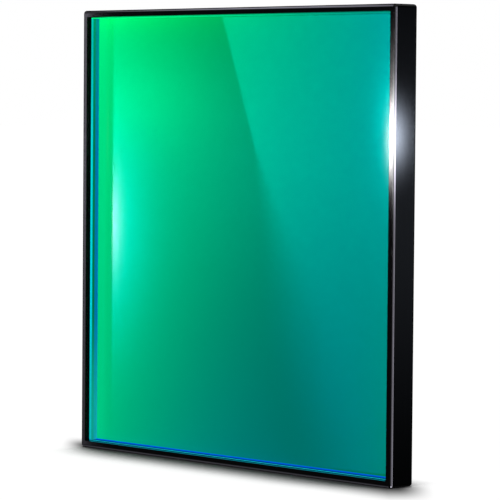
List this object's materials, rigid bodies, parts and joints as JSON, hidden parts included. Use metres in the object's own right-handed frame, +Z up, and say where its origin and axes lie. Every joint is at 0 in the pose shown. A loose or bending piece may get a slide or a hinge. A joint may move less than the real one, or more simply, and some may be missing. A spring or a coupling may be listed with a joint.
{
  "type": "square astronomy filter",
  "caption": "Square optical filter for astronomy cameras: a coated glass plate with a green to teal sheen, set back in a slim black frame.",
  "frame": {"origin": "under the middle of the frame, on the surface that its bottom edge stands on", "axes": "+X to the right along the front, -Y out of the front face, +Z up; the filter's thickness lies along Y"},
  "size_m": [0.05, 0.0032, 0.05],
  "materials": {
    "frame_black": "black anodised, satin with brighter rounded edges",
    "coated_glass": "polished, with an interference coating that reads green to teal"
  },
  "bodies": {
    "root": {"frame": "frame_black", "filter_glass": "coated_glass"}
  },
  "joints": []
}
